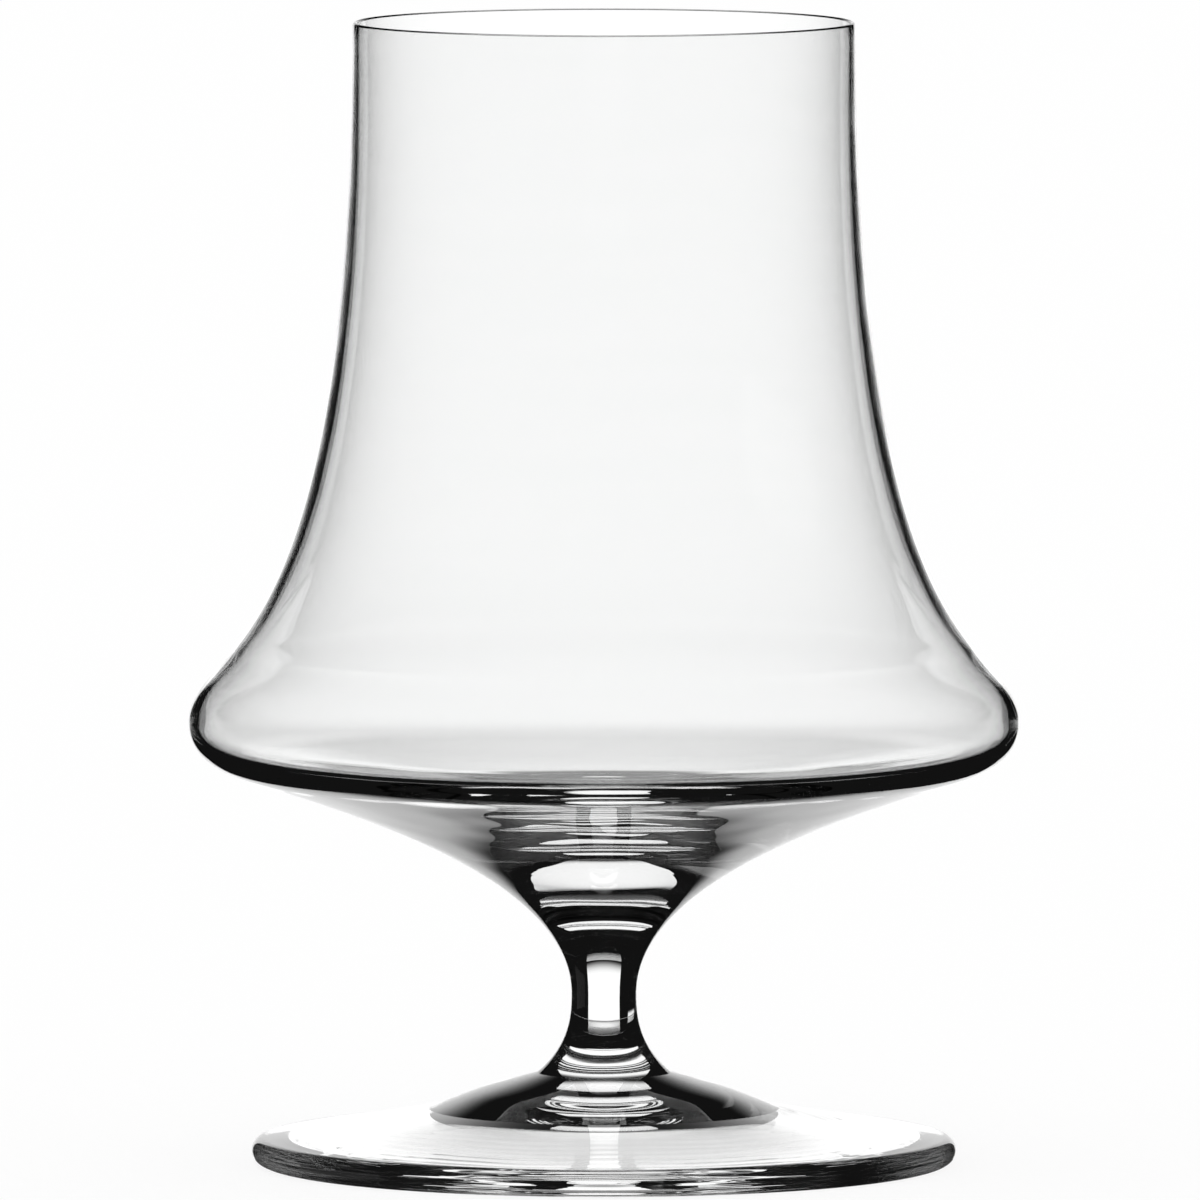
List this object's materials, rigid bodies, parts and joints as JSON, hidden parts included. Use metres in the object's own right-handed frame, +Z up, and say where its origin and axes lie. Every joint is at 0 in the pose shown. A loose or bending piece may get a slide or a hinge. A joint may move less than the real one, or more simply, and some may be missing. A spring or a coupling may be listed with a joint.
{
  "type": "stemmed whisky glass",
  "caption": "Clear drinking glass with a wide belly drawn in to a tall chimney, on a short waisted stem and a round spread foot, for nosing and sipping spirits.",
  "frame": {"origin": "on the resting plane, under the middle of the foot", "axes": "+Z up along the glass's axis, from the foot to the rim; X and Y are alike, because the glass is round"},
  "size_m": [0.0944, 0.0944, 0.13],
  "materials": {
    "bowl_crystal": "clear blown crystal, fire-polished, thin at the lip",
    "stem_crystal": "clear drawn crystal, solid, fire-polished",
    "foot_crystal": "clear pressed and spun crystal, fire-polished, with faint ripples"
  },
  "bodies": {
    "root": {"bowl": "bowl_crystal", "stem": "stem_crystal", "foot": "foot_crystal"}
  },
  "joints": []
}
